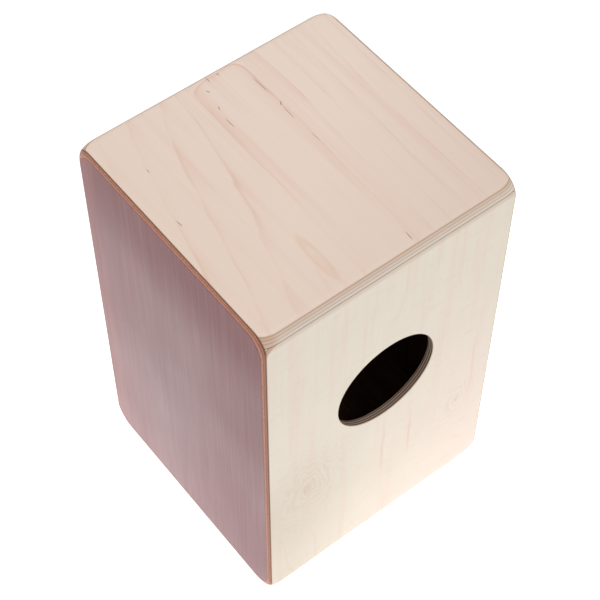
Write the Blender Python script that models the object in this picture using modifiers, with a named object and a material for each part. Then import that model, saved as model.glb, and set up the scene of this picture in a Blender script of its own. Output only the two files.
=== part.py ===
"""Snare cajon: a plywood box drum with a removable snare unit behind its front plate.

Metres, +Z up. The origin is the middle of the footprint, on the surface the drum stands on.
The front plate, which is played, faces -Y. The sound hole is in the right side, +X.
"""
import math

import bmesh
import bpy

# Driving dimensions of the box
WIDTH = 0.298
DEPTH = 0.306
HEIGHT = 0.500
FOOT_HEIGHT = 0.008
PLATE_THICKNESS = 0.0032
SEAT_THICKNESS = 0.010
BASE_THICKNESS = 0.012
BASE_RECESS = 0.002
SIDE_THICKNESS = 0.009
GLUE_GAP = 0.0003

# Rounding: the long edges are eased, and the outline's corners grow rounder towards each end
LONG_EDGE_RADIUS = 0.0115
CORNER_RADIUS = 0.030
CORNER_BLEND = 0.021
END_ROUND = 0.005
CORNER_SEGMENTS = 8

HOLE_RADIUS = 0.062
HOLE_Y = 0.0
HOLE_Z = 0.299
HOLE_SEGMENTS = 64

BATTEN_SIZE = 0.018
BATTEN_EASE = 0.0015

# Feet and their screws
FOOT_RADIUS = 0.014
FOOT_INSET_X = 0.033
FOOT_INSET_Y = 0.036
FOOT_STEPS = 28
FOOT_SCREW_RADIUS = 0.002
FOOT_SCREW_HEAD_RADIUS = 0.0042
FOOT_SCREW_HEAD_HEIGHT = 0.0024
FOOT_SCREW_LENGTH = 0.016

# Snare unit
BAR_Z = 0.430
BAR_HEIGHT = 0.030
BAR_HALF_LENGTH = 0.136
BAR_BODY_HALF_LENGTH = 0.112
BAR_FRONT_SETBACK = 0.0058
BAR_THICKNESS = 0.0224
BAR_END_THICKNESS = 0.012
WIRE_COUNT = 20
WIRE_PITCH = 0.0023
WIRE_WIDTH = 0.0011
WIRE_LENGTH = 0.190
WIRE_TILT = math.radians(1.1)
COMB_PLATE_HEIGHT = 0.015
COMB_X = 0.055
COMB_Z = 0.421
CLAMP_LENGTH = 0.050
CLAMP_HEIGHT = 0.013
CLAMP_THICKNESS = 0.0012
CLAMP_CLEARANCE = 0.00045
CLAMP_SCREW_SPREAD = 0.016
CLAMP_SCREW_RADIUS = 0.0015
CLAMP_SCREW_HEAD_RADIUS = 0.0030
CLAMP_SCREW_HEAD_HEIGHT = 0.0014
CLAMP_SCREW_LENGTH = 0.012
SCREW_STEPS = 20
SCREW_CLEARANCE = 0.0003

# Wooden holders that the bar presses on to, with hook-and-loop pads between
HOLDER_WIDTH = 0.023
HOLDER_HEIGHT = 0.044
HOLDER_THICKNESS = 0.010
HOLDER_SETBACK = 0.0023
PAD_WIDTH = 0.018
PAD_HEIGHT = 0.026
PAD_THICKNESS = 0.0015

# Derived places
BOTTOM = FOOT_HEIGHT
FRONT_FACE = -DEPTH / 2
PLATE_BACK = FRONT_FACE + PLATE_THICKNESS
BACK_INNER = DEPTH / 2 - PLATE_THICKNESS
BODY_FRONT = PLATE_BACK + GLUE_GAP
BODY_BACK = BACK_INNER - GLUE_GAP
SEAT_UNDERSIDE = HEIGHT - SEAT_THICKNESS
BASE_UNDERSIDE = BOTTOM + BASE_RECESS
BASE_TOP = BASE_UNDERSIDE + BASE_THICKNESS
SIDE_INNER = WIDTH / 2 - SIDE_THICKNESS
BAR_FRONT = PLATE_BACK + BAR_FRONT_SETBACK
BAR_BACK = BAR_FRONT + BAR_THICKNESS
OVERSIZE = 0.010

BIRCH = (0.80, 0.68, 0.53)
BIRCH_PINK = (0.77, 0.62, 0.50)
BEECH = (0.72, 0.50, 0.33)
MAUVE = (0.30, 0.17, 0.17)
SPRUCE = (0.78, 0.64, 0.43)
RUBBER_BLACK = (0.02, 0.02, 0.02)
ZINC = (0.62, 0.62, 0.60)
STEEL = (0.70, 0.70, 0.71)
PAD_BLACK = (0.03, 0.03, 0.035)


def clear_scene():
    for item in list(bpy.data.objects):
        bpy.data.objects.remove(item, do_unlink=True)


def new_collection(name):
    collection = bpy.data.collections.new(name)
    bpy.context.scene.collection.children.link(collection)
    return collection


def make_material(name, color, roughness, metallic=0.0):
    material = bpy.data.materials.new(name)
    material.use_nodes = True
    shader = material.node_tree.nodes["Principled BSDF"]
    shader.inputs["Base Color"].default_value = (*color, 1.0)
    shader.inputs["Roughness"].default_value = roughness
    shader.inputs["Metallic"].default_value = metallic
    material.diffuse_color = (*color, 1.0)
    return material


def add_object(name, data, collection, look=None):
    item = bpy.data.objects.new(name, data)
    collection.objects.link(item)
    if look:
        data.materials.append(make_material(name, *look))
    return item


def add_cutter(name, data):
    cutter = add_object(name, data, cutters)
    cutter.hide_render = True
    cutter.display_type = "WIRE"
    return cutter


def box_mesh(name, size):
    mesh = bpy.data.meshes.new(name)
    shape = bmesh.new()
    bmesh.ops.create_cube(shape, size=1.0)
    bmesh.ops.scale(shape, vec=size, verts=shape.verts)
    shape.to_mesh(mesh)
    shape.free()
    return mesh


def box_between(name, low, high, look=None):
    """A box from its lowest to its highest corner; without a look it is a cutter."""
    size = [top - bottom for bottom, top in zip(low, high)]
    mesh = box_mesh(name, size)
    item = add_object(name, mesh, parts, look) if look else add_cutter(name, mesh)
    item.location = [(top + bottom) / 2 for bottom, top in zip(low, high)]
    return item


def cylinder_cutter(name, radius, length, centre, rotation, segments):
    mesh = bpy.data.meshes.new(name)
    shape = bmesh.new()
    bmesh.ops.create_cone(shape, cap_ends=True, segments=segments, radius1=radius,
                          radius2=radius, depth=length)
    shape.to_mesh(mesh)
    shape.free()
    cutter = add_cutter(name, mesh)
    cutter.location = centre
    cutter.rotation_euler = rotation
    return cutter


def boolean(item, other, operation):
    modifier = item.modifiers.new(operation.title(), "BOOLEAN")
    modifier.operation = operation
    modifier.object = other


def ease_edges(item, width, segments=1):
    modifier = item.modifiers.new("Ease", "BEVEL")
    modifier.width = width
    modifier.segments = segments
    modifier.limit_method = "ANGLE"


def turned(name, profile, steps, closed, look):
    """A profile of (radius, height) points turned about Z; closed joins its last point to its first."""
    count = len(profile)
    edges = [(i, i + 1) for i in range(count - 1)]
    if closed:
        edges.append((count - 1, 0))
    mesh = bpy.data.meshes.new(name)
    mesh.from_pydata([(radius, 0.0, height) for radius, height in profile], edges, [])
    item = add_object(name, mesh, parts, look)
    screw = item.modifiers.new("Turn", "SCREW")
    screw.steps = steps
    screw.render_steps = steps
    screw.use_merge_vertices = True
    screw.merge_threshold = 0.00005
    screw.use_smooth_shade = False
    return item


# The box's outer form

def corner_radius(distance):
    """Corner radius of the outline at a distance in from the front or back plane."""
    into = max(0.0, (CORNER_BLEND - distance) / CORNER_BLEND)
    return LONG_EDGE_RADIUS + (CORNER_RADIUS - LONG_EDGE_RADIUS) * (1 - math.sqrt(1 - into * into))


def end_inset(distance):
    """How far the end's round-over pulls the outline in at that distance."""
    if distance >= END_ROUND:
        return 0.0
    return END_ROUND - math.sqrt(END_ROUND ** 2 - (END_ROUND - distance) ** 2)


def outline(distance):
    """Rounded rectangle in XZ, counter-clockwise from the right side's top corner."""
    inset = end_inset(distance)
    radius = corner_radius(distance) - inset
    half_width = WIDTH / 2 - inset - radius
    low = BOTTOM + inset + radius
    high = HEIGHT - inset - radius
    corners = ((half_width, high), (-half_width, high), (-half_width, low), (half_width, low))
    points = []
    for index, (x, z) in enumerate(corners):
        for step in range(CORNER_SEGMENTS + 1):
            angle = (index + step / CORNER_SEGMENTS) * math.pi / 2
            points.append((x + radius * math.cos(angle), z + radius * math.sin(angle)))
    return points


def make_envelope():
    """The whole box's outer form, lofted through outlines from front to back."""
    round_over = [END_ROUND * (1 - math.cos(math.radians(angle))) for angle in (0, 30, 52, 72, 90)]
    blend = [CORNER_BLEND * share for share in (0.4, 0.65, 1.0)]
    distances = round_over + blend
    stations = [(FRONT_FACE + d, d) for d in distances]
    stations += [(DEPTH / 2 - d, d) for d in reversed(distances)]
    shape = bmesh.new()
    rings = [[shape.verts.new((x, y, z)) for x, z in outline(d)] for y, d in stations]
    for ring, following in zip(rings, rings[1:]):
        count = len(ring)
        for i in range(count):
            j = (i + 1) % count
            shape.faces.new((ring[i], ring[j], following[j], following[i]))
    shape.faces.new(rings[0])
    shape.faces.new(rings[-1])
    bmesh.ops.recalc_face_normals(shape, faces=shape.faces)
    mesh = bpy.data.meshes.new("envelope")
    shape.to_mesh(mesh)
    shape.free()
    return add_cutter("envelope", mesh)


def shell_piece(name, low, high, look):
    """A board cut to the box's outer form."""
    item = box_between(name, low, high, look)
    boolean(item, envelope, "INTERSECT")
    return item


def make_shell():
    outside_x = WIDTH / 2 + OVERSIZE
    below = BOTTOM - OVERSIZE
    above = HEIGHT + OVERSIZE
    shell_piece("front_plate", (-outside_x, FRONT_FACE - OVERSIZE, below),
                (outside_x, PLATE_BACK, above), (MAUVE, 0.35))
    shell_piece("back_panel", (-outside_x, BACK_INNER, below),
                (outside_x, DEPTH / 2 + OVERSIZE, above), (BIRCH, 0.5))
    shell_piece("seat_panel", (-outside_x, BODY_FRONT, SEAT_UNDERSIDE),
                (outside_x, BODY_BACK, above), (BIRCH_PINK, 0.5))
    side_top = SEAT_UNDERSIDE - GLUE_GAP
    shell_piece("left_side_panel", (-outside_x, BODY_FRONT, below),
                (-SIDE_INNER, BODY_BACK, side_top), (BIRCH, 0.5))
    right = shell_piece("right_side_panel", (SIDE_INNER, BODY_FRONT, below),
                        (outside_x, BODY_BACK, side_top), (BIRCH, 0.5))
    hole = cylinder_cutter("sound_hole_cutter", HOLE_RADIUS, 0.04, (WIDTH / 2, HOLE_Y, HOLE_Z),
                           (0, math.pi / 2, 0), HOLE_SEGMENTS)
    boolean(right, hole, "DIFFERENCE")
    base_half = SIDE_INNER - GLUE_GAP
    return shell_piece("base_panel", (-base_half, BODY_FRONT, BASE_UNDERSIDE),
                       (base_half, BODY_BACK, BASE_TOP), (BIRCH, 0.55))


def make_battens():
    outer = SIDE_INNER - GLUE_GAP
    inner = outer - BATTEN_SIZE
    top = SEAT_UNDERSIDE - GLUE_GAP
    bottom = BASE_TOP + GLUE_GAP
    for level, low, high in (("top", top - BATTEN_SIZE, top), ("bottom", bottom, bottom + BATTEN_SIZE)):
        for side, x_low, x_high in (("left", -outer, -inner), ("right", inner, outer)):
            batten = box_between(f"corner_batten_{level}_{side}", (x_low, BODY_FRONT, low),
                                 (x_high, BODY_BACK, high), (SPRUCE, 0.6))
            ease_edges(batten, BATTEN_EASE)


# Feet

def make_feet(base):
    top = BASE_UNDERSIDE - GLUE_GAP
    seat_depth = 0.0045
    bore = FOOT_SCREW_RADIUS + SCREW_CLEARANCE
    recess = FOOT_SCREW_HEAD_RADIUS + 0.0008
    foot_profile = [(bore, top), (FOOT_RADIUS, top), (FOOT_RADIUS, top - 0.0025),
                    (FOOT_RADIUS - 0.0012, 0.0016), (FOOT_RADIUS - 0.0020, 0.0004),
                    (FOOT_RADIUS - 0.0032, 0.0), (recess, 0.0), (recess, seat_depth), (bore, seat_depth)]
    head_top = seat_depth - GLUE_GAP
    head_low = head_top - FOOT_SCREW_HEAD_HEIGHT
    tip = head_top + FOOT_SCREW_LENGTH
    screw_profile = [(0.0, tip), (FOOT_SCREW_RADIUS * 0.5, tip - 0.0012), (FOOT_SCREW_RADIUS, tip - 0.003),
                     (FOOT_SCREW_RADIUS, head_top), (FOOT_SCREW_HEAD_RADIUS, head_top),
                     (FOOT_SCREW_HEAD_RADIUS, head_low + 0.0010),
                     (FOOT_SCREW_HEAD_RADIUS * 0.75, head_low), (FOOT_SCREW_HEAD_RADIUS * 0.4, head_low),
                     (0.0, head_low + 0.0012)]
    x = WIDTH / 2 - FOOT_INSET_X
    y = DEPTH / 2 - FOOT_INSET_Y
    for place, sign_x, sign_y in (("front_left", -1, -1), ("front_right", 1, -1),
                                  ("back_left", -1, 1), ("back_right", 1, 1)):
        centre = (sign_x * x, sign_y * y, 0)
        foot = turned(f"rubber_foot_{place}", foot_profile, FOOT_STEPS, True, (RUBBER_BLACK, 0.8))
        foot.location = centre
        screw = turned(f"foot_screw_{place}", screw_profile, SCREW_STEPS, False, (ZINC, 0.35, 1.0))
        screw.location = centre
        depth = tip + GLUE_GAP - BASE_UNDERSIDE
        pilot = cylinder_cutter(f"pilot_{place}", bore, 2 * depth,
                                (centre[0], centre[1], BASE_UNDERSIDE), (0, 0, 0), SCREW_STEPS)
        boolean(base, pilot, "DIFFERENCE")


# Snare unit

def comb_outline():
    """A plate with its wires hanging below it, as points round the outline; the plate's middle is at 0, 0."""
    half_width = ((WIRE_COUNT - 1) * WIRE_PITCH + WIRE_WIDTH) / 2
    plate_low = -COMB_PLATE_HEIGHT / 2
    tip = plate_low - WIRE_LENGTH
    points = [(half_width, -plate_low), (-half_width, -plate_low)]
    for wire in range(WIRE_COUNT):
        left = -half_width + wire * WIRE_PITCH
        right = left + WIRE_WIDTH
        if wire > 0:
            points.append((left, plate_low))
        points += [(left, tip), (right, tip)]
        if wire < WIRE_COUNT - 1:
            points.append((right, plate_low))
    return points


def extruded_outline(name, points, thickness, look):
    """A flat outline as a solid of the given thickness, turned into a mesh so that it can be cut."""
    curve = bpy.data.curves.new(name, "CURVE")
    curve.dimensions = "2D"
    curve.fill_mode = "BOTH"
    curve.extrude = thickness / 2
    spline = curve.splines.new("POLY")
    spline.points.add(len(points) - 1)
    for point, (x, y) in zip(spline.points, points):
        point.co = (x, y, 0.0, 1.0)
    spline.use_cyclic_u = True
    sketch = add_object(name + "_sketch", curve, cutters)
    bpy.context.view_layer.update()
    mesh = bpy.data.meshes.new_from_object(sketch.evaluated_get(bpy.context.evaluated_depsgraph_get()))
    shape = bmesh.new()
    shape.from_mesh(mesh)
    bmesh.ops.remove_doubles(shape, verts=shape.verts, dist=0.00001)
    shape.to_mesh(mesh)
    shape.free()
    bpy.data.objects.remove(sketch, do_unlink=True)
    mesh.materials.clear()
    return add_object(name, mesh, parts, look)


def make_bar():
    bar = box_between("snare_bar", (-BAR_HALF_LENGTH, BAR_FRONT, BAR_Z - BAR_HEIGHT / 2),
                      (BAR_HALF_LENGTH, BAR_BACK, BAR_Z + BAR_HEIGHT / 2), (BEECH, 0.55))
    end_front = BAR_BACK - BAR_END_THICKNESS
    for side, x_low, x_high in (("left", -BAR_HALF_LENGTH - OVERSIZE, -BAR_BODY_HALF_LENGTH),
                                ("right", BAR_BODY_HALF_LENGTH, BAR_HALF_LENGTH + OVERSIZE)):
        rebate = box_between(f"rebate_{side}", (x_low, BAR_FRONT - OVERSIZE, BAR_Z - BAR_HEIGHT),
                             (x_high, end_front, BAR_Z + BAR_HEIGHT))
        boolean(bar, rebate, "DIFFERENCE")
    return bar


def make_wires(bar):
    comb_y = BAR_FRONT - CLAMP_CLEARANCE - WIRE_WIDTH / 2
    clamp_back = comb_y - WIRE_WIDTH / 2 - CLAMP_CLEARANCE
    clamp_front = clamp_back - CLAMP_THICKNESS
    head_back = clamp_front - GLUE_GAP
    hole_radius = CLAMP_SCREW_RADIUS + SCREW_CLEARANCE
    pilot_depth = CLAMP_SCREW_LENGTH + GLUE_GAP
    radius = CLAMP_SCREW_RADIUS
    head = CLAMP_SCREW_HEAD_RADIUS
    screw_profile = [(0.0, CLAMP_SCREW_LENGTH), (radius, CLAMP_SCREW_LENGTH - 0.002), (radius, 0.0),
                     (head, 0.0), (head, -CLAMP_SCREW_HEAD_HEIGHT * 0.6),
                     (head * 0.7, -CLAMP_SCREW_HEAD_HEIGHT), (head * 0.35, -CLAMP_SCREW_HEAD_HEIGHT),
                     (0.0, -CLAMP_SCREW_HEAD_HEIGHT * 0.5)]
    pieces = []
    for side, centre in (("left", -COMB_X), ("right", COMB_X)):
        wires = extruded_outline(f"snare_wires_{side}", comb_outline(), WIRE_WIDTH, (STEEL, 0.3, 1.0))
        wires.location = (centre, comb_y, COMB_Z)
        wires.rotation_euler = (math.pi / 2 - WIRE_TILT, 0, 0)
        clamp = box_between(f"snare_clamp_{side}",
                            (centre - CLAMP_LENGTH / 2, clamp_front, COMB_Z - CLAMP_HEIGHT / 2),
                            (centre + CLAMP_LENGTH / 2, clamp_back, COMB_Z + CLAMP_HEIGHT / 2),
                            (ZINC, 0.35, 1.0))
        pieces += [wires, clamp]
        for end, offset in (("a", -CLAMP_SCREW_SPREAD), ("b", CLAMP_SCREW_SPREAD)):
            screw = turned(f"clamp_screw_{side}_{end}", screw_profile, SCREW_STEPS, False,
                           (ZINC, 0.3, 1.0))
            screw.location = (centre + offset, head_back, COMB_Z)
            screw.rotation_euler = (-math.pi / 2, 0, 0)
            pieces.append(screw)
            drill = cylinder_cutter(f"drill_{side}_{end}", hole_radius, 2 * pilot_depth,
                                    (centre + offset, head_back, COMB_Z), (math.pi / 2, 0, 0),
                                    SCREW_STEPS)
            for target in (wires, clamp, bar):
                boolean(target, drill, "DIFFERENCE")
    return pieces


def make_holders():
    """The blocks on the side panels and their hook pads; returns the loop pads that ride on the bar."""
    block_front = PLATE_BACK + HOLDER_SETBACK
    block_back = block_front + HOLDER_THICKNESS
    hook_front = block_back + GLUE_GAP
    hook_back = hook_front + PAD_THICKNESS
    loop_back = BAR_BACK - BAR_END_THICKNESS - GLUE_GAP
    outer = SIDE_INNER - GLUE_GAP
    middle = outer - HOLDER_WIDTH / 2
    loop_pads = []
    for side, sign in (("left", -1), ("right", 1)):
        ends = sorted((sign * outer, sign * (outer - HOLDER_WIDTH)))
        block = box_between(f"bar_holder_{side}", (ends[0], block_front, BAR_Z - HOLDER_HEIGHT / 2),
                            (ends[1], block_back, BAR_Z + HOLDER_HEIGHT / 2), (BEECH, 0.6))
        ease_edges(block, BATTEN_EASE)
        pad_x = (sign * middle - PAD_WIDTH / 2, sign * middle + PAD_WIDTH / 2)
        pad_z = (BAR_Z - PAD_HEIGHT / 2, BAR_Z + PAD_HEIGHT / 2)
        box_between(f"hook_pad_{side}", (pad_x[0], hook_front, pad_z[0]),
                    (pad_x[1], hook_back, pad_z[1]), (PAD_BLACK, 0.9))
        loop_pads.append(box_between(f"loop_pad_{side}", (pad_x[0], loop_back - PAD_THICKNESS, pad_z[0]),
                                     (pad_x[1], loop_back, pad_z[1]), (PAD_BLACK, 0.95)))
    return loop_pads


def make_snare_unit():
    bar = make_bar()
    moving = [bar] + make_wires(bar) + make_holders()
    unit = bpy.data.objects.new("snare_unit", None)
    parts.objects.link(unit)
    unit.location = (0, (BAR_FRONT + BAR_BACK) / 2, BAR_Z)
    bpy.context.view_layer.update()
    for piece in moving:
        piece.parent = unit
        piece.matrix_parent_inverse = unit.matrix_world.inverted()


clear_scene()
parts = new_collection("cajon")
cutters = new_collection("cutters")
envelope = make_envelope()
base_panel = make_shell()
make_battens()
make_feet(base_panel)
make_snare_unit()
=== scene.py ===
"""Looks for the snare cajon: fine plywood shell, snare unit, feet, floor, light and camera."""
import math

import bmesh
import bpy
from mathutils import Matrix, Vector


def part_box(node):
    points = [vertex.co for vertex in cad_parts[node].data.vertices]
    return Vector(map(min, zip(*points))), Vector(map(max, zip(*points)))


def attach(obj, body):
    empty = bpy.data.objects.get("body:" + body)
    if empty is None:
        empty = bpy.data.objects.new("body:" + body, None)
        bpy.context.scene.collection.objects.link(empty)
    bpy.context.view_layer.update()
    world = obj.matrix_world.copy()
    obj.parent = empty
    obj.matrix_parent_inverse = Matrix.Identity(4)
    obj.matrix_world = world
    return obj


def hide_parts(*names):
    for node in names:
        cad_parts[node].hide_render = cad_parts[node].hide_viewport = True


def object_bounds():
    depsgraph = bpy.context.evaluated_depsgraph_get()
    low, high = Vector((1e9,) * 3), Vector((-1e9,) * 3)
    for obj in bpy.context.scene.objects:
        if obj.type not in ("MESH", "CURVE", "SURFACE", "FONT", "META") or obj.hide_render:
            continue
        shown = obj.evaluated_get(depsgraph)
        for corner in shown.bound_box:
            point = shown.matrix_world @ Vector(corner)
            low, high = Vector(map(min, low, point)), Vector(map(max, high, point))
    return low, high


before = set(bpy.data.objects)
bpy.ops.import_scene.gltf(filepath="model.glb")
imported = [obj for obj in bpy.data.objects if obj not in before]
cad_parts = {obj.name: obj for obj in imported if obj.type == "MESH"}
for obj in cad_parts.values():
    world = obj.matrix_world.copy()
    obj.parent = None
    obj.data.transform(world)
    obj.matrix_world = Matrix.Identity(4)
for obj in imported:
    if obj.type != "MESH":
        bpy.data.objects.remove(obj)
cad_low, cad_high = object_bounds()

# The box's outer form, the same as the CAD's with finer steps
END_ROUND = 0.005
CORNER_BLEND = 0.021
LONG_EDGE_RADIUS = 0.0115
CORNER_RADIUS = 0.030
CORNER_STEPS = 20
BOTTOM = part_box("left_side_panel")[0].z
TOP = cad_high.z
HALF_WIDTH = cad_high.x
HALF_DEPTH = cad_high.y

# Places of the boards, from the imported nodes
PLATE_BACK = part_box("front_plate")[1].y
BACK_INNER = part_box("back_panel")[0].y
BODY_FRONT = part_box("seat_panel")[0].y
BODY_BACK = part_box("seat_panel")[1].y
SEAT_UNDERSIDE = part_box("seat_panel")[0].z
SIDE_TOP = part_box("right_side_panel")[1].z
SIDE_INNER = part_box("right_side_panel")[0].x
BASE_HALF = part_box("base_panel")[1].x
BASE_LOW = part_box("base_panel")[0].z
BASE_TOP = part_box("base_panel")[1].z
FRONT_GLUE_DEPTH = 0.0013
HOLE_RADIUS = 0.062
HOLE_Z = 0.299
HOLE_EASE = 0.0012
HOLE_EASE_STEPS = 6
PLUG_PAST = 0.004


def linear(red, green, blue):
    """An sRGB colour, 0 to 255, as linear light with alpha."""
    out = []
    for value in (red, green, blue):
        share = value / 255
        out.append(share / 12.92 if share <= 0.04045 else ((share + 0.055) / 1.055) ** 2.4)
    return (*out, 1.0)


class Tree:
    """Short calls that build one material's node tree.

    A value is a number or a socket. A plain colour is (red, green, blue), 0 to 255 in sRGB."""

    def __init__(self, name):
        self.material = bpy.data.materials.new(name)
        self.material.use_nodes = True
        self.nodes = self.material.node_tree.nodes
        self.links = self.material.node_tree.links
        self.shader = self.nodes["Principled BSDF"]
        place = self.nodes.new("ShaderNodeTexCoord")
        self.at = place.outputs["Object"]
        self.normal = place.outputs["Normal"]
        self.x, self.y, self.z = self.split(self.at)

    def put(self, socket, value):
        if isinstance(value, bpy.types.NodeSocket):
            self.links.new(value, socket)
        else:
            socket.default_value = value

    def split(self, vector):
        node = self.nodes.new("ShaderNodeSeparateXYZ")
        self.put(node.inputs[0], vector)
        return node.outputs

    def join(self, x, y, z):
        node = self.nodes.new("ShaderNodeCombineXYZ")
        for socket, value in zip(node.inputs, (x, y, z)):
            self.put(socket, value)
        return node.outputs[0]

    def math(self, operation, *values):
        node = self.nodes.new("ShaderNodeMath")
        node.operation = operation
        for socket, value in zip(node.inputs, values):
            self.put(socket, value)
        return node.outputs[0]

    def add(self, *values):
        total = values[0]
        for value in values[1:]:
            total = self.math("ADD", total, value)
        return total

    def sub(self, a, b):
        return self.math("SUBTRACT", a, b)

    def mul(self, *values):
        total = values[0]
        for value in values[1:]:
            total = self.math("MULTIPLY", total, value)
        return total

    def absolute(self, value):
        return self.math("ABSOLUTE", value)

    def length(self, a, b):
        return self.math("SQRT", self.add(self.mul(a, a), self.mul(b, b)))

    def ramp(self, value, low, high, to_low=0.0, to_high=1.0, smooth=True):
        """value from low to high, as to_low to to_high, held at the ends."""
        node = self.nodes.new("ShaderNodeMapRange")
        node.interpolation_type = "SMOOTHSTEP" if smooth else "LINEAR"
        for name, amount in (("Value", value), ("From Min", low), ("From Max", high),
                             ("To Min", to_low), ("To Max", to_high)):
            self.put(node.inputs[name], amount)
        return node.outputs["Result"]

    def band(self, value, centre, half, soft):
        """1 where value is within half of centre, falling to 0 over soft."""
        away = self.absolute(self.sub(value, centre))
        return self.ramp(away, half, half + soft, 1.0, 0.0)

    def hill(self, a, b, centre, spread):
        """A smooth hill of height 1 in the plane of a and b."""
        across = self.mul(self.sub(a, centre[0]), 1 / spread[0])
        along = self.mul(self.sub(b, centre[1]), 1 / spread[1])
        squared = self.add(self.mul(across, across), self.mul(along, along))
        return self.math("EXPONENT", self.mul(squared, -1.0))

    def scaled(self, *scales):
        """The object coordinates, scaled along each axis."""
        return self.join(*[self.mul(axis, scale) for axis, scale in zip((self.x, self.y, self.z), scales)])

    def noise(self, vector, scale=1.0, detail=2.0, roughness=0.5):
        node = self.nodes.new("ShaderNodeTexNoise")
        for name, value in (("Vector", vector), ("Scale", scale),
                            ("Detail", detail), ("Roughness", roughness)):
            self.put(node.inputs[name], value)
        return node.outputs["Fac"]

    def wander(self, vector, amount, scale=1.0, detail=2.0):
        """Noise about zero, amount from its lowest to its highest."""
        return self.mul(self.sub(self.noise(vector, scale, detail), 0.5), amount)

    def mix(self, share, a, b):
        node = self.nodes.new("ShaderNodeMix")
        node.data_type = "RGBA"
        for index, value in ((0, share), (6, a), (7, b)):
            self.put(node.inputs[index], linear(*value) if isinstance(value, tuple) else value)
        return node.outputs[2]

    def layers(self, colour, *over):
        """A colour with others laid over it in turn, each given as (share, colour)."""
        for share, shade in over:
            colour = self.mix(share, colour, shade)
        return colour

    def choose(self, share, a, b):
        """Like mix, for numbers."""
        return self.add(a, self.mul(share, self.sub(b, a)))

    def bump(self, height, distance):
        node = self.nodes.new("ShaderNodeBump")
        self.put(node.inputs["Strength"], 1.0)
        self.put(node.inputs["Distance"], distance)
        self.put(node.inputs["Height"], height)
        self.put(self.shader.inputs["Normal"], node.outputs["Normal"])

    def finish(self, colour, roughness, **sockets):
        self.put(self.shader.inputs["Base Color"], colour)
        self.put(self.shader.inputs["Roughness"], roughness)
        for name, value in sockets.items():
            self.shader.inputs[name.replace("_", " ")].default_value = value
        return self.material


# Wood

BIRCH_LONG = (236, 220, 202)
BIRCH_END = (208, 184, 160)
GLUE = (120, 88, 68)
# Painted shade: the dark brown of the inner faces, for the shade inside the box
INSIDE_SHADE = (134, 102, 76)

GLUE_LINE = 0.00016

# Cells of noise per metre, across the grain and along it
FIBRES_ACROSS = 900.0
FIBRES_ALONG = 14.0
PORES_ACROSS = 2600.0
PORES_ALONG = 260.0
SPECKLE = 2400.0
# Growth rings per metre of veneer
SIDE_RINGS = 26.0
PLATE_RINGS = 24.0
BASE_RINGS = 22.0


def fibres(tree, along, fine=1.0):
    """Fine streaks that run along one axis (0, 1 or 2), from 0 to 1 about a half."""
    scales = [FIBRES_ACROSS * fine] * 3
    scales[along] = FIBRES_ALONG * fine
    return tree.noise(tree.scaled(*scales), detail=3.0, roughness=0.6)


def pores(tree, along):
    """Short dark vessel marks along the grain: 1 in a mark, 0 outside."""
    scales = [PORES_ACROSS] * 3
    scales[along] = PORES_ALONG
    return tree.ramp(tree.noise(tree.scaled(*scales), detail=1.0), 0.70, 0.78)


def plies(tree, depth, thickness, count, face_axis, cross_axis):
    """Colour of the plies on a board's edge, the share of its glue lines, and 1 in every second ply.

    depth runs from one face to the other. The odd plies' grain runs along face_axis, and the even
    plies' along cross_axis; a ply is darker where its grain meets the surface end on."""
    layer = tree.mul(tree.add(depth, tree.wander(tree.at, thickness * 0.012, 60.0)), count / thickness)
    ply = tree.math("FLOOR", layer)
    crossed = tree.math("MODULO", ply, 2.0)
    facing = [tree.absolute(part) for part in tree.split(tree.normal)]
    end_on = tree.choose(crossed, facing[face_axis], facing[cross_axis])
    grain = tree.choose(crossed, fibres(tree, face_axis), fibres(tree, cross_axis))
    speckle = tree.noise(tree.at, SPECKLE)
    end = tree.mix(tree.ramp(speckle, 0.35, 0.7), BIRCH_END, (188, 158, 130))
    long = tree.mix(tree.ramp(grain, 0.3, 0.75), BIRCH_LONG, (222, 202, 180))
    each = tree.noise(tree.join(ply, 0.37, 0.61), 3.7)
    colour = tree.layers(long, (tree.ramp(end_on, 0.25, 0.75), end),
                         (tree.ramp(each, 0.3, 0.7, 0.0, 0.30), (210, 186, 160)))
    from_middle = tree.absolute(tree.sub(tree.math("FRACT", layer), 0.5))
    share = GLUE_LINE * count / thickness
    line = tree.ramp(from_middle, 0.5 - 2 * share, 0.5 - 0.4 * share)
    inside = tree.band(depth, thickness / 2, thickness / 2 - 0.0005, 0.0002)
    return colour, tree.mul(line, inside), crossed


def sheet_figure(tree, field, fade=3.0):
    """Growth-ring figure of a peeled veneer from a height field: soft bands, and a thin line at each ring."""
    ring = tree.math("FRACT", field)
    soft = tree.math("POWER", ring, fade)
    line = tree.mul(tree.ramp(ring, 0.86, 0.96), tree.ramp(ring, 0.975, 1.0, 1.0, 0.0))
    return soft, line


def seat_field(tree):
    """Ring height over the seat: a long valley along X that closes near the left end."""
    valley_half = 0.033
    ring_behind = 0.0212
    ring_ahead = 0.035
    floor_height = -0.75
    x, y = tree.x, tree.y
    waves = tree.wander(tree.scaled(11.0, 60.0, 0.0), 0.34, detail=3.0)
    drift = tree.wander(tree.scaled(4.0, 14.0, 0.0), 0.8, detail=1.0)
    off = tree.sub(y, tree.add(0.002, tree.mul(x, -0.02)))
    above = tree.mul(tree.sub(off, valley_half), 1 / ring_behind)
    below = tree.mul(tree.sub(tree.mul(off, -1.0), valley_half), 1 / ring_ahead)
    slant = tree.mul(x, -7.4, tree.ramp(off, -0.030, -0.062))
    side = tree.ramp(off, -0.004, 0.004)
    height = tree.math("MAXIMUM", tree.choose(side, tree.add(below, slant), above), floor_height)
    closing = tree.mul(tree.hill(x, y, (-0.166, 0.003), (0.021, 0.030)), 3.6)
    calm = tree.ramp(tree.absolute(off), 0.024, 0.040, 0.15, 1.0)
    return tree.add(height, closing, tree.mul(tree.add(waves, drift), calm), 8.0)


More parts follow.
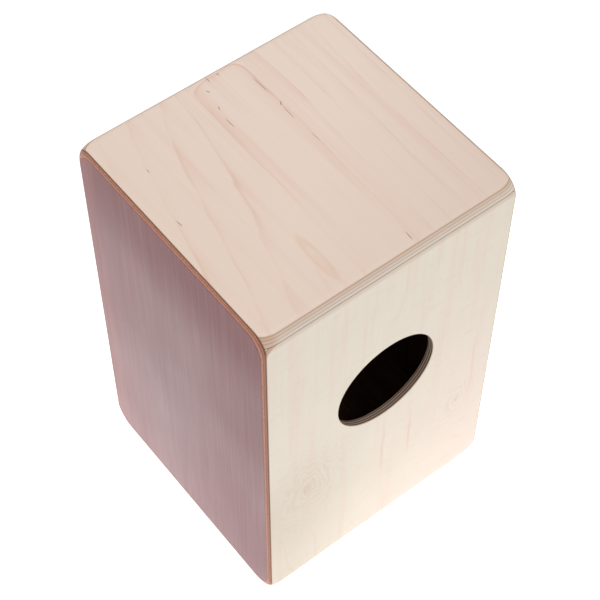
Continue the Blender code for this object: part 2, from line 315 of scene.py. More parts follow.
def side_field(tree, shift, knots):
    """Ring height over a side: upright grain that bends round its faint knots."""
    y, z = tree.y, tree.z
    waves = tree.wander(tree.join(shift, tree.mul(y, 26.0), tree.mul(z, 5.0)), 1.1)
    drift = tree.wander(tree.join(shift, tree.mul(y, 8.0), tree.mul(z, 3.0)), 2.4, detail=1.0)
    bent = 0.0
    for knot_y, knot_z, spread, share in knots:
        near = tree.hill(y, z, (knot_y, knot_z), (spread * 6.5, spread * 9.0))
        bent = tree.add(bent, tree.mul(near, share * 11.0))
    return tree.add(tree.mul(y, SIDE_RINGS), bent, waves, drift, 12.0)


def plate_field(tree, shift):
    """Ring height over a front or back plate: upright grain."""
    x, z = tree.x, tree.z
    waves = tree.wander(tree.join(tree.mul(x, 24.0), shift, tree.mul(z, 4.0)), 1.2)
    drift = tree.wander(tree.join(tree.mul(x, 7.0), shift, tree.mul(z, 2.4)), 3.6, detail=1.0)
    return tree.add(tree.mul(x, PLATE_RINGS), waves, drift, 12.0)


def base_field(tree):
    """Ring height over the base: grain along X."""
    waves = tree.mul(tree.noise(tree.scaled(5.0, 20.0, 1.0)), 3.0)
    return tree.add(tree.mul(tree.y, BASE_RINGS), waves, 9.0)


def bands(tree, along, width):
    """Soft irregular bands along the grain, about width across: from 0 to 1 about a half."""
    scales = [1.0 / width] * 3
    scales[along] = 0.04 / width
    return tree.noise(tree.scaled(*scales), detail=3.0, roughness=0.55)


def veneer(tree, figure, along, light, pink, line_colour, strength):
    """Colour of a clear-coated birch veneer over a figure."""
    soft, line = figure
    patches = tree.noise(tree.at, 9.0)
    warm = tree.add(tree.mul(soft, tree.ramp(patches, 0.3, 0.75, 0.25, 1.0), strength),
                    tree.ramp(bands(tree, along, 0.012), 0.35, 0.75, -0.20, 0.45))
    drawn = tree.mul(line, tree.ramp(patches, 0.45, 0.7, 0.04, 0.50), strength)
    streak = fibres(tree, along)
    return tree.layers(
        light,
        (tree.math("MAXIMUM", warm, 0.0), pink),
        (drawn, line_colour),
        (tree.ramp(streak, 0.5, 0.85, 0.0, 0.10), line_colour),
        (tree.ramp(streak, 0.5, 0.2, 0.0, 0.16), (242, 230, 214)),
        (tree.mul(pores(tree, along), 0.12), (176, 140, 112)))


# Dark flecks in the seat's veneer: middle x, y, half length, half width and slope
SEAT_FLECKS = (
    (-0.1010, 0.0340, 0.0130, 0.00045, 0.02),
    (-0.0690, 0.0350, 0.0030, 0.00075, -0.45),
    (-0.0560, 0.0340, 0.0110, 0.00040, -0.03),
    (-0.0140, 0.0355, 0.0070, 0.00030, 0.05),
    (-0.1380, 0.0090, 0.0022, 0.00060, 0.00),
    (-0.1380, -0.0030, 0.0045, 0.00045, -0.05),
    (-0.1250, -0.0120, 0.0022, 0.00070, 0.35),
    (-0.1010, -0.0165, 0.0026, 0.00060, -0.30),
    (-0.0790, -0.0195, 0.0080, 0.00045, 0.02),
    (0.1330, 0.0285, 0.0065, 0.00050, -0.06),
    (-0.0080, -0.1305, 0.0045, 0.00055, 0.10),
    (-0.0780, -0.1170, 0.0025, 0.00045, 0.00),
)


def flecks(tree, places):
    total = 0.0
    for x, y, half, width, slope in places:
        along = tree.sub(tree.x, x)
        across = tree.sub(tree.sub(tree.y, y), tree.mul(along, slope))
        long = tree.mul(along, 1 / half)
        wide = tree.mul(across, 1 / width)
        away = tree.add(tree.mul(long, long), tree.mul(wide, wide))
        total = tree.add(total, tree.ramp(away, 0.2, 1.3, 1.0, 0.0))
    return tree.math("MINIMUM", total, 1.0)


def shaded_inside(tree, colour, share, along):
    """Painted shade: the face that looks into the box, darkened to a deep brown so the inside stays dark
    through the sound hole.
    """
    dark_inside = tree.layers(
        INSIDE_SHADE,
        (tree.ramp(fibres(tree, along, 0.5), 0.3, 0.75), (108, 78, 56)),
        (tree.ramp(bands(tree, along, 0.014), 0.35, 0.7, 0.0, 0.5), (150, 116, 88)))
    return tree.mix(share, colour, dark_inside)


def joint_shade(tree, colour):
    """Sanded glue and dust darken the body boards beside the two plates."""
    front = tree.ramp(tree.y, BODY_FRONT + 0.0002, BODY_FRONT + 0.0010, 0.75, 0.0)
    back = tree.ramp(tree.y, BODY_BACK - 0.0008, BODY_BACK - 0.0002, 0.0, 0.45)
    return tree.mix(tree.add(front, back), colour, (140, 98, 76))


def wood_finish(tree, colour, along, smooth=0.42):
    """Satin clear lacquer over the wood: the grain just shows in roughness and relief."""
    streak = fibres(tree, along, 0.7)
    cloud = tree.noise(tree.at, 24.0, detail=3.0)
    roughness = tree.add(tree.ramp(streak, 0.25, 0.8, -0.03, 0.05),
                         tree.ramp(cloud, 0.3, 0.7, -0.03, 0.04), smooth)
    tree.bump(tree.sub(streak, tree.mul(pores(tree, along), 0.7)), 0.00004)
    return tree.finish(colour, roughness, Specular_IOR_Level=0.45)


# The seat board's glue lines: depth, half width and strength
SEAT_GLUE = (
    (0.0020, 0.00030, 0.60),
    (0.0036, 0.00016, 0.50),
    (0.0062, 0.00018, 0.52),
    (0.0097, 0.00022, 0.75),
)
OUTER_GLUE = (168, 128, 100)


def seat_edge(tree, depth):
    """The seat's rounded edge: pale plies with thin glue lines, warmer where the front plate was oiled."""
    grain = tree.choose(tree.ramp(depth, 0.0035, 0.0037), fibres(tree, 0), fibres(tree, 1))
    speckle = tree.noise(tree.at, SPECKLE)
    oiled = tree.ramp(tree.y, -0.1300, -0.1440)
    colour = tree.layers(
        (206, 184, 166),
        (tree.ramp(depth, 0.0020, 0.0080), (216, 201, 188)),
        (tree.ramp(grain, 0.4, 0.8, 0.0, 0.20), (186, 160, 140)),
        (tree.ramp(speckle, 0.45, 0.75, 0.0, 0.12), (170, 142, 120)),
        (tree.mul(oiled, 0.45), (190, 144, 112)))
    ink = tree.mix(oiled, (138, 118, 106), (136, 88, 62))
    uneven = tree.add(depth, tree.wander(tree.at, 0.00012, 60.0))
    for index, (glue_at, half, strength) in enumerate(SEAT_GLUE):
        line = tree.band(uneven, glue_at, half, 0.00022)
        colour = tree.mix(tree.mul(line, strength), colour, ink if index else OUTER_GLUE)
    return colour


def seat_material():
    tree = Tree("seat_birch")
    thickness = TOP - SEAT_UNDERSIDE
    depth = tree.sub(TOP, tree.z)
    drawn = tree.ramp(tree.y, 0.050, 0.090, 0.95, 0.45)
    figure = sheet_figure(tree, seat_field(tree))
    eye = tree.hill(tree.x, tree.y, (0.101, -0.0540), (0.032, 0.0062))
    eye_ring = tree.mul(tree.ramp(eye, 0.25, 0.45), tree.ramp(eye, 0.95, 0.60, 0.35, 1.0))
    # Painted shade: the seat darker toward the front right and toward the right, as the light falls across it
    shaded_front_right = tree.sub(tree.y, tree.mul(tree.x, 0.6))
    shaded_right = tree.add(tree.x, tree.mul(tree.y, 0.8))
    face = tree.layers(
        veneer(tree, figure, 0, (226, 207, 193), (221, 190, 175), (203, 162, 141), drawn),
        (tree.mul(eye_ring, 0.32), (208, 164, 136)),
        # Painted shade toward the front right, then toward the right
        (tree.ramp(shaded_front_right, 0.16, -0.20, 0.0, 0.40, smooth=False), (216, 193, 175)),
        (tree.ramp(shaded_right, 0.02, 0.24, 0.0, 0.45, smooth=False), (204, 182, 168)),
        (tree.mul(flecks(tree, SEAT_FLECKS), 0.75), (128, 84, 74)))
    skin = tree.ramp(depth, 0.0010, 0.0017, 1.0, 0.0)
    colour = joint_shade(tree, tree.mix(skin, seat_edge(tree, depth), face))
    under = tree.ramp(depth, thickness - 0.0002, thickness - 0.0001)
    return wood_finish(tree, shaded_inside(tree, colour, under, 0), 0)


STREAK_HALF_WIDTH = 0.0016
# Pink streaks in the side veneers: y, z, half length and strength
RIGHT_STREAKS = (
    (0.0020, 0.168, 0.046, 0.52),
    (0.0380, 0.160, 0.038, 0.44),
    (0.1250, 0.220, 0.070, 0.32),
    (-0.0330, 0.330, 0.060, 0.14),
    (0.0900, 0.420, 0.050, 0.14),
)
LEFT_STREAKS = (
    (-0.0560, 0.290, 0.070, 0.30),
    (0.0740, 0.140, 0.050, 0.24),
    (0.0180, 0.390, 0.045, 0.18),
)
# Faint knots in the side veneers: y, z, size and strength
RIGHT_KNOTS = ((-0.1005, 0.186, 0.0058, 0.62), (0.107, 0.160, 0.0035, 0.38))
LEFT_KNOTS = ((0.048, 0.352, 0.0045, 0.35),)


def worn_corner(tree):
    """1 where the sander has gone through a side's face veneer, outside its rounded front corner."""
    radius = 0.015
    margin = 0.0006
    ahead = tree.math("MAXIMUM", tree.sub(BODY_FRONT + radius + margin, tree.y), 0.0)
    above = tree.math("MAXIMUM", tree.sub(tree.z, SIDE_TOP - radius - margin), 0.0)
    return tree.ramp(tree.length(ahead, above), radius - 0.0002, radius + 0.0008)


def with_knots(tree, face, knots):
    """Faint knots: wobbling rings round a mottled core."""
    wobble = tree.mul(tree.noise(tree.scaled(0.0, 34.0, 18.0), detail=3.0), 0.052)
    mottle = tree.ramp(tree.noise(tree.at, 420.0, detail=3.0), 0.35, 0.65, 0.35, 1.0)
    for knot_y, knot_z, spread, share in knots:
        near = tree.hill(tree.y, tree.z, (knot_y, knot_z), (spread * 7.5, spread * 10.5))
        core = tree.hill(tree.y, tree.z, (knot_y, knot_z), (spread, spread * 1.5))
        reach = tree.length(tree.sub(tree.y, knot_y), tree.mul(tree.sub(tree.z, knot_z), 0.7))
        ripple = tree.math("SINE", tree.mul(tree.add(reach, wobble), 800.0))
        rings = tree.mul(near, tree.ramp(ripple, -0.2, 1.0), share, 0.45)
        face = tree.layers(face, (rings, (196, 160, 142)), (tree.mul(core, mottle, share), (192, 142, 126)))
    return face


def with_streaks(tree, face, streaks):
    """Soft pink streaks, a little crooked, that run up the board."""
    crooked = tree.add(tree.y, tree.wander(tree.scaled(0.0, 8.0, 14.0), 0.012, detail=1.0))
    for streak_y, streak_z, half, share in streaks:
        streak = tree.hill(crooked, tree.z, (streak_y, streak_z), (STREAK_HALF_WIDTH, half))
        face = tree.mix(tree.mul(streak, share), face, (218, 172, 156))
    return face


def silk(tree, shift):
    """Short slanting dashes of sheen across the grain."""
    slanting = tree.mul(tree.add(tree.y, tree.mul(tree.z, 0.5)), 38.0)
    dashes = tree.noise(tree.join(shift, slanting, tree.mul(tree.z, 120.0)), detail=3.0, roughness=0.6)
    return tree.ramp(dashes, 0.52, 0.75, 0.0, 0.18)


def scorched_hole(tree, colour, glue, crossed):
    """The sound hole's wall: plies browned by the cutter, the crossed ones and the glue most."""
    radial = tree.length(tree.y, tree.sub(tree.z, HOLE_Z))
    wall = tree.ramp(radial, HOLE_RADIUS + 0.0004, HOLE_RADIUS + 0.0014, 1.0, 0.0)
    facing = tree.absolute(tree.split(tree.normal)[0])
    burnt = tree.mul(wall, tree.ramp(facing, 0.35, 0.9, 1.0, 0.0), 0.9)
    scorch = tree.layers((192, 166, 146), (crossed, (92, 70, 58)), (tree.mul(glue, 0.8), (72, 52, 44)))
    return tree.mix(burnt, colour, scorch)


def side_material(name, shift, knots, streaks):
    tree = Tree(name)
    thickness = HALF_WIDTH - SIDE_INNER
    depth = tree.sub(HALF_WIDTH, tree.absolute(tree.x))
    edge, glue, crossed = plies(tree, depth, thickness, 7, 2, 1)
    figure = sheet_figure(tree, side_field(tree, shift, knots), 2.4)
    lit_low_back = tree.mul(tree.ramp(tree.y, -0.08, 0.13), tree.ramp(tree.z, 0.42, 0.05))
    low_front = tree.mul(tree.ramp(tree.y, 0.0, -0.13), tree.ramp(tree.z, 0.30, 0.16))
    face = tree.layers(
        veneer(tree, figure, 2, (221, 211, 194), (222, 200, 186), (206, 178, 158), 0.40),
        # Painted light: lighter toward the low back of the side, where light from the floor falls
        (tree.mul(lit_low_back, 0.75), (232, 212, 199)),
        # Painted shade: darker in the top 20 mm of the side, below the seat's rounded edge
        (tree.ramp(tree.z, TOP - 0.020, TOP - 0.013, 0.0, 0.6), (196, 176, 158)))
    face = with_streaks(tree, with_knots(tree, face, knots), streaks)
    face = tree.layers(
        face,
        (silk(tree, shift), (198, 184, 160)),
        (tree.mul(low_front, 0.45), (192, 178, 160)))
    under_veneer = tree.math("MAXIMUM", tree.ramp(depth, 0.00112, 0.00122, 1.0, 0.0),
                             tree.ramp(depth, thickness - 0.0012, thickness - 0.0011))
    colour = tree.layers(
        edge,
        (under_veneer, face),
        (tree.mul(glue, 0.75), GLUE),
        (tree.mul(worn_corner(tree), under_veneer, 0.8), (186, 150, 122)))
    colour = joint_shade(tree, scorched_hole(tree, colour, glue, crossed))
    inner = tree.ramp(depth, thickness - 0.0004, thickness - 0.0002)
    return wood_finish(tree, shaded_inside(tree, colour, inner, 2), 2)


def plate_edges(tree, depth, glue_at):
    """Oiled brown plies on a thin plate's sanded rim."""
    grain = tree.ramp(tree.noise(tree.scaled(500.0, 1800.0, 500.0), detail=3.0), 0.3, 0.7)
    outer = tree.mix(grain, (196, 140, 116), (172, 112, 90))
    core = tree.mix(grain, (182, 128, 102), (152, 98, 76))
    return tree.layers(
        outer,
        (tree.ramp(depth, glue_at, glue_at + 0.0002), core),
        (tree.mul(tree.band(depth, glue_at, 0.00006, 0.00014), 0.7), (96, 58, 44)),
        (tree.ramp(depth, 0.0024, 0.0031, 0.0, 0.75), (92, 54, 40)))


def front_material():
    """Dyed, lacquered playing face with painted reflection and shade in its colour; the rim sanded through to
    brown plies, the back darkened as painted shade.
    """
    tree = Tree("playing_face")
    depth = tree.sub(tree.y, -HALF_DEPTH)
    rings = sheet_figure(tree, plate_field(tree, 3.1), 2.0)[0]
    streak = fibres(tree, 2, 0.6)
    broad = tree.noise(tree.scaled(22.0, 1.0, 3.0), detail=3.0, roughness=0.55)
    cloud = tree.noise(tree.at, 7.0)
    # Painted sheen: a lighter grey patch in the middle of the face
    middle = tree.hill(tree.x, tree.z, (-0.02, 0.20), (0.08, 0.20))
    dye_and_painted_light = tree.layers(
        (139, 100, 102),
        (tree.ramp(broad, 0.3, 0.72), (148, 106, 106)),
        (tree.ramp(cloud, 0.3, 0.7, 0.0, 0.35), (146, 112, 112)),
        # Painted reflection and shade: the next four layers make the face lighter toward the bottom, darker
        # toward the right, a lighter grey sheen in the middle and darker toward the top
        (tree.ramp(tree.z, 0.46, 0.16, 0.0, 0.50, smooth=False), (176, 138, 140)),
        (tree.ramp(tree.x, -0.13, 0.13, 0.0, 0.62, smooth=False), (122, 76, 80)),
        (tree.mul(middle, 0.30), (150, 132, 136)),
        (tree.ramp(tree.z, 0.37, 0.470, 0.0, 0.62), (118, 54, 57)),
        (tree.ramp(tree.x, -0.112, -0.140, 0.0, 0.35), (176, 118, 114)),
        (tree.mul(rings, 0.12), (126, 90, 92)),
        (tree.ramp(streak, 0.45, 0.85, 0.0, 0.10), (112, 78, 80)),
        (tree.ramp(streak, 0.5, 0.2, 0.0, 0.08), (172, 136, 134)))
    worn = tree.add(depth, tree.wander(tree.at, 0.00012, 180.0, detail=3.0))
    skin = tree.ramp(worn, 0.00016, 0.00034, 1.0, 0.0)
    inner = tree.ramp(tree.split(tree.normal)[1], 0.7, 0.95)
    colour = shaded_inside(tree, tree.mix(skin, plate_edges(tree, depth, FRONT_GLUE_DEPTH), dye_and_painted_light), inner, 2)
    roughness = tree.add(tree.ramp(streak, 0.25, 0.8, -0.03, 0.06),
                         tree.ramp(cloud, 0.3, 0.7, -0.03, 0.04), 0.40)
    tree.bump(tree.add(streak, tree.mul(broad, 0.6)), 0.00005)
    return tree.finish(colour, roughness, Specular_IOR_Level=0.25)


def back_material():
    tree = Tree("back_birch")
    depth = tree.sub(HALF_DEPTH, tree.y)
    figure = sheet_figure(tree, plate_field(tree, 8.7), 2.4)
    face = veneer(tree, figure, 2, (236, 224, 205), (230, 206, 184), (210, 180, 152), 0.7)
    edge, glue = plies(tree, depth, HALF_DEPTH - BACK_INNER, 3, 2, 0)[:2]
    skin = tree.ramp(depth, 0.00090, 0.00100, 1.0, 0.0)
    colour = tree.layers(edge, (skin, face), (tree.mul(glue, 0.7), GLUE))
    inner = tree.ramp(tree.mul(tree.split(tree.normal)[1], -1.0), 0.7, 0.95)
    return wood_finish(tree, shaded_inside(tree, colour, inner, 2), 2)


def base_material():
    tree = Tree("base_birch")
    thickness = BASE_TOP - BASE_LOW
    depth = tree.sub(tree.z, BASE_LOW)
    figure = sheet_figure(tree, base_field(tree))
    face = veneer(tree, figure, 0, (226, 206, 178), (212, 182, 152), (188, 150, 120), 0.8)
    edge, glue = plies(tree, depth, thickness, 9, 0, 1)[:2]
    facing = tree.absolute(tree.split(tree.normal)[2])
    colour = tree.layers(edge, (tree.mul(glue, 0.75), GLUE), (tree.ramp(facing, 0.6, 0.9), face))
    inner = tree.ramp(depth, thickness - 0.0004, thickness - 0.0002)
    return wood_finish(tree, shaded_inside(tree, colour, inner, 0), 0, 0.55)


# Meshes

def to_mesh(name, shape):
    bmesh.ops.recalc_face_normals(shape, faces=shape.faces)
    mesh = bpy.data.meshes.new(name)
    shape.to_mesh(mesh)
    shape.free()
    return mesh


def new_object(name, shape):
    item = bpy.data.objects.new(name, to_mesh(name, shape))
    bpy.context.scene.collection.objects.link(item)
    return item


def change_mesh(item, mesh):
    old = item.data
    item.data = mesh
    bpy.data.meshes.remove(old)


def apply_modifiers(item):
    depsgraph = bpy.context.evaluated_depsgraph_get()
    made = bpy.data.meshes.new_from_object(item.evaluated_get(depsgraph), depsgraph=depsgraph)
    item.modifiers.clear()
    change_mesh(item, made)


def smooth(item, degrees=28):
    """Smooth shading with sharp creases, flat faces keeping their own normals."""
    for face in item.data.polygons:
        face.use_smooth = True
    item.data.set_sharp_from_angle(angle=math.radians(degrees))
    even = item.modifiers.new("Even", "WEIGHTED_NORMAL")
    even.keep_sharp = True
    even.weight = 100


def place(item, material, body, slot, node):
    item.data.materials.clear()
    item.data.materials.append(material)
    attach(item, body)
    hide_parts(node)


def corner_radius(distance):
    into = max(0.0, (CORNER_BLEND - distance) / CORNER_BLEND)
    return LONG_EDGE_RADIUS + (CORNER_RADIUS - LONG_EDGE_RADIUS) * (1 - math.sqrt(1 - into * into))


def end_inset(distance):
    if distance >= END_ROUND:
        return 0.0
    return END_ROUND - math.sqrt(END_ROUND ** 2 - (END_ROUND - distance) ** 2)


def outline(distance):
    """Rounded rectangle in XZ, at a distance in from the front or back plane."""
    inset = end_inset(distance)
    radius = corner_radius(distance) - inset
    half = HALF_WIDTH - inset - radius
    low = BOTTOM + inset + radius
    high = TOP - inset - radius
    points = []
    for index, (x, z) in enumerate(((half, high), (-half, high), (-half, low), (half, low))):
        for step in range(CORNER_STEPS + 1):
            angle = (index + step / CORNER_STEPS) * math.pi / 2
            points.append((x + radius * math.cos(angle), z + radius * math.sin(angle)))
    return points


def ring_faces(shape, rings):
    for low, high in zip(rings, rings[1:]):
        for i in range(len(low)):
            j = (i + 1) % len(low)
            shape.faces.new((low[i], low[j], high[j], high[i]))


def add_solid(shape, rings):
    """A closed solid through rings of points."""
    rings = [[shape.verts.new(point) for point in ring] for ring in rings]
    ring_faces(shape, rings)
    shape.faces.new(rings[0])
    shape.faces.new(rings[-1])


def envelope():
    round_over = [END_ROUND * (1 - math.cos(math.radians(angle))) for angle in range(0, 91, 9)]
    blend = [END_ROUND + (CORNER_BLEND - END_ROUND) * step / 9 for step in range(1, 10)]
    distances = round_over + blend
    stations = [(-HALF_DEPTH + d, d) for d in distances] + [(HALF_DEPTH - d, d) for d in reversed(distances)]
    shape = bmesh.new()
    add_solid(shape, [[(x, y, z) for x, z in outline(d)] for y, d in stations])
    bmesh.ops.recalc_face_normals(shape, faces=shape.faces)
    return shape


def board(name, cuts):
    """The box's outer form cut by planes, each (axis, place, side kept: -1 below or 1 above)."""
    shape = envelope()
    for axis, where, kept in cuts:
        point = [0.0, 0.0, 0.0]
        point[axis] = where
        outward = [0.0, 0.0, 0.0]
        outward[axis] = -kept
        everything = shape.verts[:] + shape.edges[:] + shape.faces[:]
        bmesh.ops.bisect_plane(shape, geom=everything, dist=1e-7, plane_co=point, plane_no=outward,
                               clear_outer=True)
        open_edges = [edge for edge in shape.edges if edge.is_boundary]
        bmesh.ops.contextual_create(shape, geom=open_edges)
    return new_object(name, shape)


def turned_solid(name, profile, steps, closed=False):
    """A (radius, height) profile turned about Z, points on the axis shared; a closed one has a bore."""
    shape = bmesh.new()
    turns = [2 * math.pi * k / steps for k in range(steps)]
    rings = []
    for radius, height in profile:
        if radius < 1e-6:
            rings.append([shape.verts.new((0, 0, height))])
        else:
            rings.append([shape.verts.new((radius * math.cos(turn), radius * math.sin(turn), height))
                          for turn in turns])
    pairs = list(zip(rings, rings[1:]))
    if closed:
        pairs.append((rings[-1], rings[0]))
    for low, high in pairs:
        for k in range(steps):
            following = (k + 1) % steps
            if len(low) == 1:
                shape.faces.new((low[0], high[k], high[following]))
            elif len(high) == 1:
                shape.faces.new((low[k], low[following], high[0]))
            else:
                shape.faces.new((low[k], low[following], high[following], high[k]))
    for ring in (rings[0], rings[-1]):
        if len(ring) > 1 and not closed:
            shape.faces.new(ring)
    return new_object(name, shape)


def cut(item, cutter):
    modifier = item.modifiers.new("Cut", "BOOLEAN")
    modifier.operation = "DIFFERENCE"
    modifier.solver = "EXACT"
    modifier.object = cutter
    apply_modifiers(item)
    old = cutter.data
    bpy.data.objects.remove(cutter)
    bpy.data.meshes.remove(old)


# The shell

BETWEEN_PLATES = ((1, BODY_FRONT, 1), (1, BODY_BACK, -1))
SIDE_CUTS = (*BETWEEN_PLATES, (2, SIDE_TOP, -1))
seat = board("seat", (*BETWEEN_PLATES, (2, SEAT_UNDERSIDE, 1)))
left_side = board("left_side", (*SIDE_CUTS, (0, -SIDE_INNER, -1)))
right_side = board("right_side", (*SIDE_CUTS, (0, SIDE_INNER, 1)))
front = board("front_face", ((1, PLATE_BACK, -1),))
back = board("back_face", ((1, BACK_INNER, 1),))
base = board("base", (*BETWEEN_PLATES, (2, BASE_LOW, 1), (2, BASE_TOP, -1),
                      (0, -BASE_HALF, 1), (0, BASE_HALF, -1)))


def hole_cutter():
    """Turned plug for the sound hole, flaring where it leaves the board's two faces."""
    depth = HALF_WIDTH - SIDE_INNER
    widest = HOLE_RADIUS + HOLE_EASE
    flare = []
    for step in range(HOLE_EASE_STEPS + 1):
        angle = math.pi / 2 * step / HOLE_EASE_STEPS
        flare.append((widest - HOLE_EASE * math.sin(angle), HOLE_EASE * (1 - math.cos(angle))))
    profile = [(0.0, -PLUG_PAST), (widest, -PLUG_PAST), *flare]
    profile += [(radius, depth - height) for radius, height in reversed(flare)]
    profile += [(widest, depth + PLUG_PAST), (0.0, depth + PLUG_PAST)]
    plug = turned_solid("hole_plug", profile, 160)
    plug.data.transform(Matrix.Translation((SIDE_INNER, 0, HOLE_Z)) @ Matrix.Rotation(math.pi / 2, 4, "Y"))
    return plug


cut(right_side, hole_cutter())
for item in (seat, left_side, right_side, front, back):
    smooth(item)

left_birch = side_material("left_side_birch", 5.3, LEFT_KNOTS, LEFT_STREAKS)
right_birch = side_material("right_side_birch", 0.0, RIGHT_KNOTS, RIGHT_STREAKS)
place(seat, seat_material(), "box", "seat_birch", "seat_panel")
place(left_side, left_birch, "box", "shell_birch", "left_side_panel")
place(right_side, right_birch, "box", "shell_birch", "right_side_panel")
place(front, front_material(), "box", "playing_face", "front_plate")
place(back, back_material(), "box", "shell_birch", "back_panel")
place(base, base_material(), "box", "shell_birch", "base_panel")

# Inner pieces: shapes

THREAD_DEPTH = 0.0002
FOOT_BORE = 0.0023
CLAMP_BORE = 0.0018
FOOT_SHANK = 0.0020
CLAMP_SHANK = 0.0015
FOOT_HEAD_HEIGHT = 0.0024
CLAMP_HEAD_HEIGHT = 0.0014
FOOT_SCREW_PITCH = 0.0014
CLAMP_SCREW_PITCH = 0.0010
PAST_SCREW = 0.0002
HOOK_HEIGHT = 0.0008

# The snares: wires in each comb, from wire to wire, and each coil's own sizes
WIRES = 20
WIRE_PITCH = 0.0023
COIL_RADIUS = 0.00038
WIRE_RADIUS = 0.00017


def prism(name, profile, low, high, ease, steps):
    """A closed (x, y) profile raised along Z, with eased edges."""
    shape = bmesh.new()
    add_solid(shape, [[(x, y, z) for x, y in profile] for z in (low, high)])
    bmesh.ops.recalc_face_normals(shape, faces=shape.faces)
    bmesh.ops.bevel(shape, geom=shape.edges[:], offset=ease, segments=steps, profile=0.5, affect="EDGES")
    return new_object(name, shape)


def block(name, low, high, ease, steps):
    profile = ((low[0], low[1]), (high[0], low[1]), (high[0], high[1]), (low[0], high[1]))
    return prism(name, profile, low[2], high[2], ease, steps)


def bore(item, radius, at, along, depth):
    """A round hole of the given depth, started a little outside the surface."""
    outside = -0.0005
    plug = turned_solid("bore", ((0.0, outside), (radius, outside), (radius, depth), (0.0, depth)), 24)
    turned = Vector(along).to_track_quat("Z", "Y").to_matrix().to_4x4()
    plug.data.transform(Matrix.Translation(at) @ turned)
    cut(item, plug)


def cross_recess(size, width, depth, opening):
    """Tapered cross-shaped plug, deepest at depth along +Z from the opening."""
    rings = []
    for z, share in ((opening - 0.0004, 1.1), (opening + depth, 0.5)):
        long = size * share
        half = width / 2 * (0.5 + 0.5 * share)
        ring = []
        for quarter in range(4):
            turned = Matrix.Rotation(quarter * math.pi / 2, 3, "Z")
            ring += [turned @ Vector((x, y, z)) for x, y in ((long, -half), (long, half), (half, half))]
        rings.append(ring)
    shape = bmesh.new()
    add_solid(shape, rings)
    return new_object("recess", shape)


def screw(name, radius, head_radius, head_height, length, pitch, matrix):
    """Pan head from 0 down to -head_height with a cross recess, threaded shank up to length."""
    profile = [(0.0, length), (radius * 0.25, length - 0.0004)]
    crests = int((length - 0.003) / pitch)
    for crest in range(crests + 1):
        height = length - 0.0016 - crest * pitch
        widest = min(radius, radius * (0.45 + 0.30 * crest))
        profile.append((widest, height))
        profile.append((widest - THREAD_DEPTH, height - pitch * 0.45))
        profile.append((widest - THREAD_DEPTH, height - pitch * 0.65))
    profile += [(radius, 0.0006), (radius, 0.0), (head_radius - 0.0001, 0.0), (head_radius, -0.0001)]
    rim = 0.35 * head_height
    for step in range(10):
        angle = step / 9 * math.pi / 2
        profile.append((head_radius * math.cos(angle), -rim - (head_height - rim) * math.sin(angle)))
    item = turned_solid(name, profile, 40)
    cut(item, cross_recess(head_radius * 0.56, head_radius * 0.22, head_height * 0.62, -head_height))
    item.data.transform(matrix)
    smooth(item, 35)
    return item


def foot(name, x, y):
    """Rubber foot: tapered disc with rounded edges and a recess for its screw."""
    low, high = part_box(name)
    top = high.z
    radius = (high.x - low.x) / 2
    recess = 0.0050
    roof = 0.0045
    profile = [(FOOT_BORE, top), (radius - 0.0003, top), (radius, top - 0.0003), (radius, top - 0.0025)]
    for step in range(7):
        angle = step / 6 * math.pi / 2
        profile.append((radius - 0.0032 + 0.0020 * math.cos(angle), 0.0016 - 0.0016 * math.sin(angle)))
    profile += [(recess + 0.0006, 0.0), (recess + 0.0002, 0.0002), (recess, 0.0006), (recess, roof),
                (FOOT_BORE, roof)]
    item = turned_solid(name + "_rubber", profile, 64, closed=True)
    item.data.transform(Matrix.Translation((x, y, 0)))
    smooth(item, 40)
    return item


def add_coils(shape, start, length):
    """The snare coils: thin wire wound along -Y, side by side along X."""
    lead = 0.00145
    around = 8
    sides = 3
    stations = int(length / lead * around)
    for index in range(WIRES):
        middle = (index - (WIRES - 1) / 2) * WIRE_PITCH
        rings = []
        for station in range(stations + 1):
            angle = 2 * math.pi * station / around
            along = start - length * station / stations
            ring = []
            for side in range(sides):
                turned = 2 * math.pi * side / sides
                reach = COIL_RADIUS + WIRE_RADIUS * math.cos(turned)
                ring.append((middle + reach * math.cos(angle), along + WIRE_RADIUS * math.sin(turned),
                             reach * math.sin(angle)))
            rings.append(ring)
        add_solid(shape, rings)


def add_pegs(shape, low, high):
    """The hook pad's short leaning stems, on its +Y face."""
    columns = 15
    rows = 21
    stem = 0.0009
    for column in range(columns):
        for row in range(rows):
            x = low.x + (high.x - low.x) * (column + 0.5) / columns
            z = low.z + (high.z - low.z) * (row + 0.5) / rows
            way = 1 if (column + row) % 2 else -1
            rings = []
            for share, half, lean in ((0.0, 0.00030, 0.0), (0.75, 0.00022, 0.00008), (1.0, 0.00032, 0.00016)):
                y = high.y - stem * (1 - share)
                rings.append([(x + dx * half, y, z + dz * half + lean * way)
                              for dx, dz in ((-1, -1), (1, -1), (1, 1), (-1, 1))])
            add_solid(shape, rings)


def with_more(item, add, *details):
    """Adds loose parts to a piece's mesh, by a function that takes the mesh and the details."""
    shape = bmesh.new()
    shape.from_mesh(item.data)
    add(shape, *details)
    change_mesh(item, to_mesh(item.name, shape))


